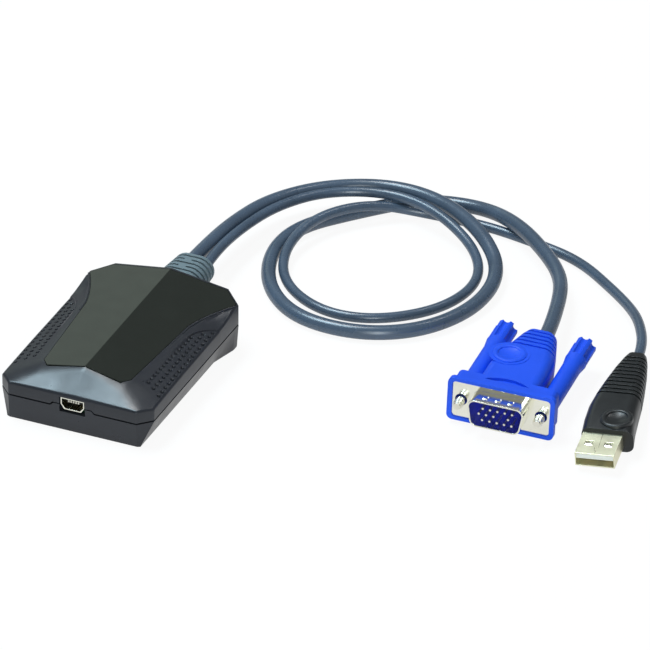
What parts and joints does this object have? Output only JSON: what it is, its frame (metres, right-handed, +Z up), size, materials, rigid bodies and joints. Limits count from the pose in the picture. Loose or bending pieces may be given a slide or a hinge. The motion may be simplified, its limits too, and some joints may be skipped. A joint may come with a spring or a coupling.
{
  "type": "crash cart adapter",
  "caption": "Small ridged adapter housing with a mini socket in front and two cords at the rear, ending in a video plug with thumbscrews and a flat USB plug.",
  "frame": {"origin": "middle of the housing's underside", "axes": "+Y from the socket end towards the cords, +Z up, +X to the right seen from the socket"},
  "size_m": [0.1824, 0.1719, 0.0189],
  "materials": {
    "housing": "fine matt texture",
    "panel": "satin",
    "screw_steel": "zinc plated",
    "board": "solder mask",
    "chip": "moulded",
    "can": "bright",
    "header_white": "moulded",
    "lead_jacket": "satin",
    "bright_metal": "nickel plated",
    "black_insert": "moulded",
    "gold_contact": "gold flash",
    "boot_grey": "satin",
    "cord_slate": "satin",
    "royal_blue": "satin",
    "dark_blue": "moulded",
    "grip_black": "satin",
    "insert_olive": "moulded"
  },
  "bodies": {
    "adapter": {"top_cover": "housing", "bottom_case": "housing", "top_panel": "panel", "case_screws": "screw_steel", "circuit_board": "board", "main_chip": "chip", "memory_chip": "chip", "crystal": "can", "capacitors": "can", "vga_header": "header_white", "usb_header": "header_white", "vga_leads": "lead_jacket", "usb_leads": "lead_jacket", "mini_usb_shell": "bright_metal", "vga_shell": "bright_metal", "usb_shell": "bright_metal", "mini_usb_tongue": "black_insert", "mini_usb_contacts": "gold_contact", "vga_pins": "gold_contact", "usb_contacts": "gold_contact", "cable_boot": "boot_grey", "vga_cord": "cord_slate", "usb_cord": "cord_slate", "vga_hood": "royal_blue", "vga_insulator": "dark_blue", "usb_grip": "grip_black", "usb_tongue": "insert_olive"},
    "thumbscrew_left": {"thumbscrew_knob_left": "royal_blue", "thumbscrew_stud_left": "bright_metal"},
    "thumbscrew_right": {"thumbscrew_knob_right": "royal_blue", "thumbscrew_stud_right": "bright_metal"}
  },
  "joints": [
    {"name": "thumbscrew_left_turn", "type": "hinge", "parent": "adapter", "child": "thumbscrew_left", "pos_m": [0.10333, 0.0165, 0.00825], "axis": [-0.064, 0.9979, 0], "continuous": true},
    {"name": "thumbscrew_right_turn", "type": "hinge", "parent": "adapter", "child": "thumbscrew_right", "pos_m": [0.12827, 0.0181, 0.00745], "axis": [-0.064, 0.9979, 0], "continuous": true}
  ]
}
